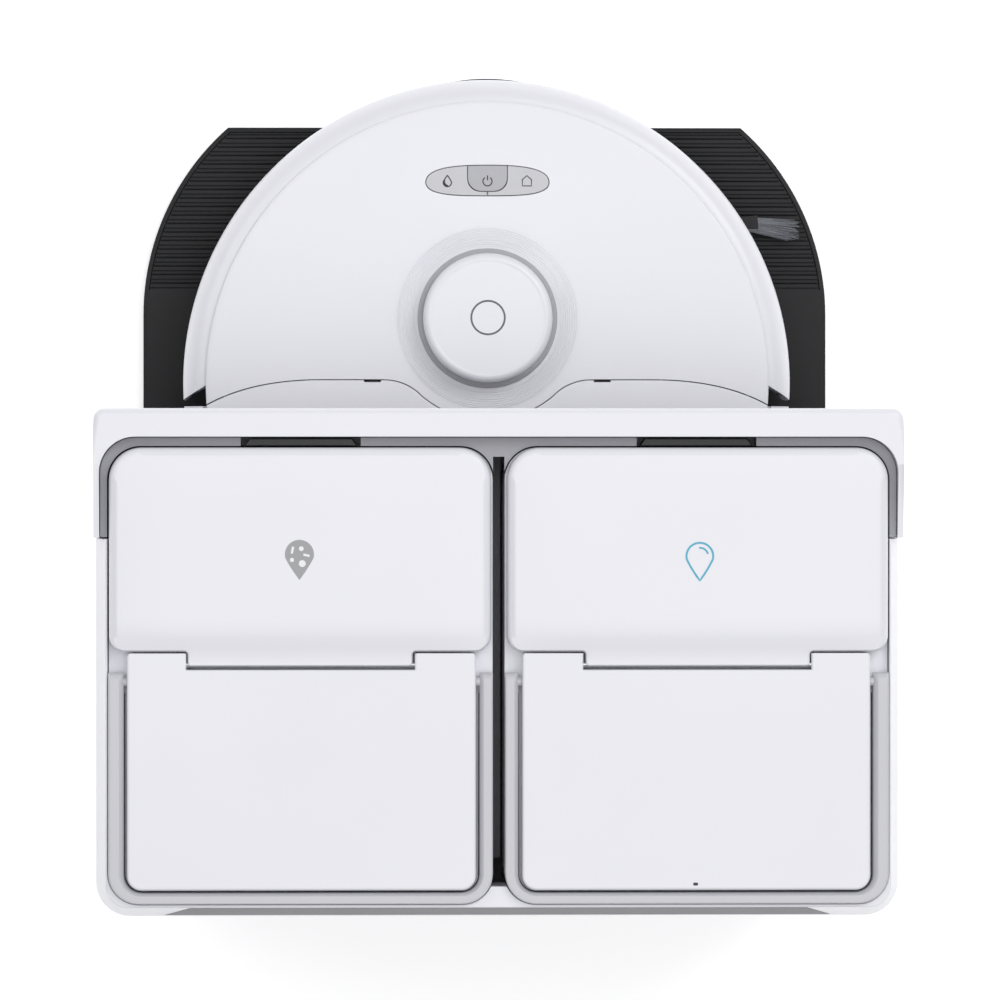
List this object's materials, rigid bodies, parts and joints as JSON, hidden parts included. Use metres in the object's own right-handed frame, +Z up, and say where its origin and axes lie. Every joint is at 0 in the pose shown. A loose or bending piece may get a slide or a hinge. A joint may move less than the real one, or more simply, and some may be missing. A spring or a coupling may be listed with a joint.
{
  "type": "robot vacuum",
  "caption": "Disc-shaped robot vacuum with a laser turret, docked in a station that empties its dust, washes its mop and holds water tanks.",
  "frame": {"origin": "on the floor, at the middle of the bottom of the bounding box", "axes": "+Z up; the robot drives out towards -Y, so +Y is the back of the station; +X is to the right seen from the front"},
  "size_m": [0.425, 0.462, 0.408],
  "materials": {
    "white_gloss": "fine satin-gloss moulded plastic",
    "white_satin": "satin moulded plastic",
    "light_grey": "satin moulded plastic",
    "mid_grey": "matt moulded plastic",
    "black_matt": "matt moulded plastic",
    "black_gloss": "polished dark plastic",
    "key_grey": "satin moulded plastic",
    "black_rubber": "matt rubber",
    "red_rubber": "soft silicone rubber",
    "silicone": "translucent silicone",
    "steel": "ground steel",
    "brass": "plated spring contact",
    "smoked": "clear smoked plastic",
    "bag_paper": "non-woven filter bag",
    "mop_fabric": "looped microfibre",
    "filter": "pleated filter paper in a frame",
    "circuit": "glass-epoxy board"
  },
  "bodies": {
    "station": {"base_plate": "black_matt", "wash_tray": "light_grey", "tower_shell": "white_gloss", "rear_panel": "mid_grey", "power_inlet": "black_gloss", "front_fascia": "white_gloss", "tank_well": "mid_grey", "garage_liner": "light_grey", "charge_contact_right": "brass", "charge_contact_left": "brass", "dust_bag": "bag_paper", "dust_fan": "black_matt", "water_pump": "black_matt", "station_board": "circuit"},
    "dust_door": {"dust_door": "white_gloss"},
    "wash_carriage": {"wash_carriage": "light_grey"},
    "wash_roller": {"wash_roller": "mop_fabric"},
    "dirty_tank": {"dirty_tank": "white_satin", "dirty_lid_seal": "silicone", "dirty_lid_pin": "steel"},
    "dirty_lid": {"dirty_lid": "white_gloss"},
    "dirty_handle": {"dirty_handle": "light_grey"},
    "dirty_latch": {"dirty_latch": "black_matt"},
    "clean_tank": {"clean_tank": "white_satin", "clean_lid_seal": "silicone", "clean_lid_pin": "steel"},
    "clean_lid": {"clean_lid": "white_gloss"},
    "clean_handle": {"clean_handle": "light_grey"},
    "clean_latch": {"clean_latch": "black_matt"},
    "robot": {"chassis": "white_satin", "top_shell": "white_gloss", "turret_base": "white_gloss", "turret_cap": "white_gloss", "side_brush_motor": "black_matt", "brush_guard": "black_matt", "dustbin": "smoked", "dust_filter": "filter", "suction_fan": "black_matt", "battery": "black_matt", "main_board": "circuit"},
    "bumper": {"bumper": "white_gloss", "bumper_window": "black_gloss"},
    "dustbin_lid": {"dustbin_lid": "white_gloss"},
    "lidar_rotor": {"lidar_rotor": "black_gloss"},
    "spot_key": {"spot_key": "key_grey"},
    "home_key": {"home_key": "key_grey"},
    "power_key": {"power_key": "key_grey"},
    "caster_fork": {"caster_fork": "black_matt"},
    "caster_wheel": {"caster_wheel": "white_satin"},
    "front_roller": {"front_roller": "red_rubber"},
    "rear_roller": {"rear_roller": "red_rubber"},
    "side_brush": {"side_brush": "black_rubber"},
    "right_wheel_arm": {"right_wheel_arm": "black_matt"},
    "right_wheel": {"right_tyre": "black_rubber", "right_hub": "light_grey"},
    "left_wheel_arm": {"left_wheel_arm": "black_matt"},
    "left_wheel": {"left_tyre": "black_rubber", "left_hub": "light_grey"},
    "mop": {"mop_plate": "light_grey", "mop_pad": "mop_fabric"}
  },
  "joints": [
    {"name": "dust_door_hinge", "type": "hinge", "parent": "station", "child": "dust_door", "pos_m": [0, -0.036, 0.171], "axis": [1, 0, 0], "range_deg": [0, 90]},
    {"name": "wash_travel", "type": "slide", "parent": "station", "child": "wash_carriage", "axis": [1, 0, 0], "range_m": [-0.12, 0.12]},
    {"name": "wash_roller_spin", "type": "hinge", "parent": "wash_carriage", "child": "wash_roller", "pos_m": [0, 0, 0.0082], "axis": [0, 1, 0], "continuous": true},
    {"name": "dirty_tank_lift", "type": "slide", "parent": "station", "child": "dirty_tank", "axis": [0, 0, 1], "range_m": [0, 0.2]},
    {"name": "dirty_lid_hinge", "type": "hinge", "parent": "dirty_tank", "child": "dirty_lid", "pos_m": [0.10395, 0.097, 0.402], "axis": [-1, 0, 0], "range_deg": [0, 85]},
    {"name": "dirty_handle_hinge", "type": "hinge", "parent": "dirty_tank", "child": "dirty_handle", "pos_m": [0.10395, 0.106, 0.3978], "axis": [1, 0, 0], "range_deg": [0, 80]},
    {"name": "dirty_latch_press", "type": "slide", "parent": "dirty_tank", "child": "dirty_latch", "axis": [0, 1, 0], "range_m": [0, 0.0012], "stiffness_N_per_m": 400, "springref_m": -0.002},
    {"name": "clean_tank_lift", "type": "slide", "parent": "station", "child": "clean_tank", "axis": [0, 0, 1], "range_m": [0, 0.2]},
    {"name": "clean_lid_hinge", "type": "hinge", "parent": "clean_tank", "child": "clean_lid", "pos_m": [-0.10395, 0.097, 0.402], "axis": [-1, 0, 0], "range_deg": [0, 85]},
    {"name": "clean_handle_hinge", "type": "hinge", "parent": "clean_tank", "child": "clean_handle", "pos_m": [-0.10395, 0.106, 0.3978], "axis": [1, 0, 0], "range_deg": [0, 80]},
    {"name": "clean_latch_press", "type": "slide", "parent": "clean_tank", "child": "clean_latch", "axis": [0, 1, 0], "range_m": [0, 0.0012], "stiffness_N_per_m": 400, "springref_m": -0.002},
    {"name": "robot_drive_out", "type": "slide", "parent": "station", "child": "robot", "axis": [0, -1, 0], "range_m": [0, 0.45]},
    {"name": "bumper_press", "type": "slide", "parent": "robot", "child": "bumper", "axis": [0, 1, 0], "range_m": [0, 0.003], "stiffness_N_per_m": 400, "springref_m": -0.002},
    {"name": "dustbin_lid_hinge", "type": "hinge", "parent": "robot", "child": "dustbin_lid", "pos_m": [0, -0.056, 0.0917], "axis": [1, 0, 0], "range_deg": [0, 18]},
    {"name": "lidar_spin", "type": "hinge", "parent": "robot", "child": "lidar_rotor", "pos_m": [0, -0.092, 0.085], "axis": [0, 0, 1], "continuous": true},
    {"name": "spot_key_press", "type": "slide", "parent": "robot", "child": "spot_key", "axis": [0, 0, -1], "range_m": [0, 0.0007], "stiffness_N_per_m": 400, "springref_m": -0.001},
    {"name": "home_key_press", "type": "slide", "parent": "robot", "child": "home_key", "axis": [0, 0, -1], "range_m": [0, 0.0007], "stiffness_N_per_m": 400, "springref_m": -0.001},
    {"name": "power_key_press", "type": "slide", "parent": "robot", "child": "power_key", "axis": [0, 0, -1], "range_m": [0, 0.0007], "stiffness_N_per_m": 400, "springref_m": -0.001},
    {"name": "right_suspension", "type": "hinge", "parent": "robot", "child": "right_wheel_arm", "pos_m": [0.11, -0.005, 0.05], "axis": [-1, 0, 0], "range_deg": [0, 14], "stiffness_Nm_per_rad": 1.5, "springref_deg": -14.32},
    {"name": "right_wheel_spin", "type": "hinge", "parent": "right_wheel_arm", "child": "right_wheel", "pos_m": [0.128, -0.051, 0.0435], "axis": [1, 0, 0], "continuous": true},
    {"name": "left_suspension", "type": "hinge", "parent": "robot", "child": "left_wheel_arm", "pos_m": [-0.11, -0.005, 0.05], "axis": [-1, 0, 0], "range_deg": [0, 14], "stiffness_Nm_per_rad": 1.5, "springref_deg": -14.32},
    {"name": "left_wheel_spin", "type": "hinge", "parent": "left_wheel_arm", "child": "left_wheel", "pos_m": [-0.128, -0.051, 0.0435], "axis": [1, 0, 0], "continuous": true},
    {"name": "caster_swivel", "type": "hinge", "parent": "robot", "child": "caster_fork", "pos_m": [0, -0.177, 0.04], "axis": [0, 0, 1], "continuous": true},
    {"name": "caster_roll", "type": "hinge", "parent": "caster_fork", "child": "caster_wheel", "pos_m": [0, -0.169, 0.0245], "axis": [1, 0, 0], "continuous": true},
    {"name": "front_roller_spin", "type": "hinge", "parent": "robot", "child": "front_roller", "pos_m": [0, -0.073, 0.03], "axis": [1, 0, 0], "continuous": true},
    {"name": "rear_roller_spin", "type": "hinge", "parent": "robot", "child": "rear_roller", "pos_m": [0, -0.037, 0.03], "axis": [1, 0, 0], "continuous": true},
    {"name": "side_brush_spin", "type": "hinge", "parent": "robot", "child": "side_brush", "pos_m": [-0.098, -0.147, 0.018], "axis": [0, 0, 1], "continuous": true},
    {"name": "mop_lift", "type": "slide", "parent": "robot", "child": "mop", "axis": [0, 0, 1], "range_m": [0, 0.005]}
  ],
  "couplings": [
    {"joint": "rear_roller_spin", "follows": "front_roller_spin", "ratio": -1}
  ]
}
